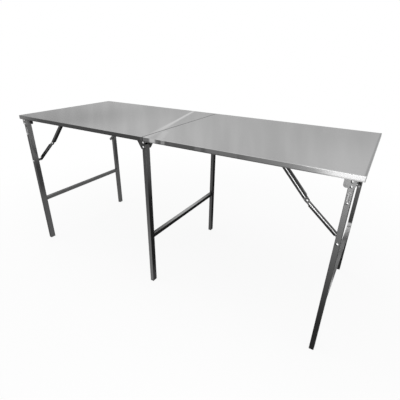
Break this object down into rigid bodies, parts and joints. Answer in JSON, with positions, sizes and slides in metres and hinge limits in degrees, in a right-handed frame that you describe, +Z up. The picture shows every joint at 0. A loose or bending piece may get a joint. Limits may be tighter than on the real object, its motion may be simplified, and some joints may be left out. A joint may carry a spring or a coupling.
{
  "type": "folding work table",
  "caption": "Long steel folding work table: hinged sheet-metal top, end frames that fold inwards on over-centre braces, and a folding centre frame under the seam.",
  "frame": {"origin": "on the floor, under the middle of the top", "axes": "+X along the table towards the right end, -Y towards the near long side, +Z up"},
  "size_m": [1.8, 0.7, 0.8],
  "materials": {
    "top_steel": "satin grey sheet with soft streaks",
    "frame_steel": "semi-gloss dark grey tube",
    "plate_steel": "semi-gloss dark grey pressed plate",
    "rivet_steel": "bright zinc-plated",
    "foot_plastic": "matt black"
  },
  "bodies": {
    "right_top": {"right_tray": "top_steel", "right_ribs": "plate_steel", "right_bracket_near": "plate_steel", "right_bracket_far": "plate_steel", "right_leg_pivots": "rivet_steel", "right_leg_stops": "rivet_steel", "right_gusset_near": "plate_steel", "right_gusset_far": "plate_steel", "right_anchor_near": "plate_steel", "right_anchor_far": "plate_steel", "right_anchor_pins": "rivet_steel", "seam_pins": "rivet_steel"},
    "left_top": {"left_tray": "top_steel", "left_ribs": "plate_steel", "left_bracket_near": "plate_steel", "left_bracket_far": "plate_steel", "left_leg_pivots": "rivet_steel", "left_leg_stops": "rivet_steel", "left_gusset_near": "plate_steel", "left_gusset_far": "plate_steel", "left_anchor_near": "plate_steel", "left_anchor_far": "plate_steel", "left_anchor_pins": "rivet_steel", "gusset_studs": "rivet_steel"},
    "centre_frame": {"centre_leg_near": "frame_steel", "centre_leg_far": "frame_steel", "centre_crossbar": "frame_steel", "centre_foot_near": "foot_plastic", "centre_foot_far": "foot_plastic", "seam_washers": "rivet_steel"},
    "right_end_frame": {"right_leg_near": "frame_steel", "right_leg_far": "frame_steel", "right_crossbar": "frame_steel", "right_foot_near": "foot_plastic", "right_foot_far": "foot_plastic", "right_brace_pins": "rivet_steel", "right_brace_bushes": "plate_steel"},
    "right_upper_links": {"right_upper_link_near": "frame_steel", "right_upper_link_far": "frame_steel", "right_upper_knee_rivets": "rivet_steel"},
    "right_lower_links": {"right_lower_link_near": "frame_steel", "right_lower_link_far": "frame_steel", "right_lower_knee_rivets": "rivet_steel"},
    "left_end_frame": {"left_leg_near": "frame_steel", "left_leg_far": "frame_steel", "left_crossbar": "frame_steel", "left_foot_near": "foot_plastic", "left_foot_far": "foot_plastic", "left_brace_pins": "rivet_steel", "left_brace_bushes": "plate_steel"},
    "left_upper_links": {"left_upper_link_near": "frame_steel", "left_upper_link_far": "frame_steel", "left_upper_knee_rivets": "rivet_steel"},
    "left_lower_links": {"left_lower_link_near": "frame_steel", "left_lower_link_far": "frame_steel", "left_lower_knee_rivets": "rivet_steel"}
  },
  "joints": [
    {"name": "panel_fold", "type": "hinge", "parent": "right_top", "child": "left_top", "pos_m": [0, 0, 0.753], "axis": [0, -1, 0], "range_deg": [0, 90]},
    {"name": "centre_leg_fold", "type": "hinge", "parent": "right_top", "child": "centre_frame", "pos_m": [0, 0, 0.753], "axis": [0, -1, 0], "range_deg": [0, 90]},
    {"name": "right_leg_fold", "type": "hinge", "parent": "right_top", "child": "right_end_frame", "pos_m": [0.864, 0, 0.774], "axis": [0, 1, 0], "range_deg": [0, 90]},
    {"name": "right_upper_link_fold", "type": "hinge", "parent": "right_top", "child": "right_upper_links", "pos_m": [0.613, 0, 0.779], "axis": [0, 1, 0], "range_deg": [0, 130.88]},
    {"name": "right_lower_link_fold", "type": "hinge", "parent": "right_end_frame", "child": "right_lower_links", "pos_m": [0.864, 0, 0.534], "axis": [0, -1, 0], "range_deg": [0, 129.76]},
    {"name": "left_leg_fold", "type": "hinge", "parent": "left_top", "child": "left_end_frame", "pos_m": [-0.864, 0, 0.774], "axis": [0, -1, 0], "range_deg": [0, 90]},
    {"name": "left_upper_link_fold", "type": "hinge", "parent": "left_top", "child": "left_upper_links", "pos_m": [-0.613, 0, 0.779], "axis": [0, -1, 0], "range_deg": [0, 130.88]},
    {"name": "left_lower_link_fold", "type": "hinge", "parent": "left_end_frame", "child": "left_lower_links", "pos_m": [-0.864, 0, 0.534], "axis": [0, 1, 0], "range_deg": [0, 129.76]}
  ],
  "couplings": [
    {"joint": "right_upper_link_fold", "follows": "right_leg_fold", "ratio": 1.4542},
    {"joint": "right_lower_link_fold", "follows": "right_leg_fold", "ratio": 1.4418},
    {"joint": "left_upper_link_fold", "follows": "left_leg_fold", "ratio": 1.4542},
    {"joint": "left_lower_link_fold", "follows": "left_leg_fold", "ratio": 1.4418}
  ]
}
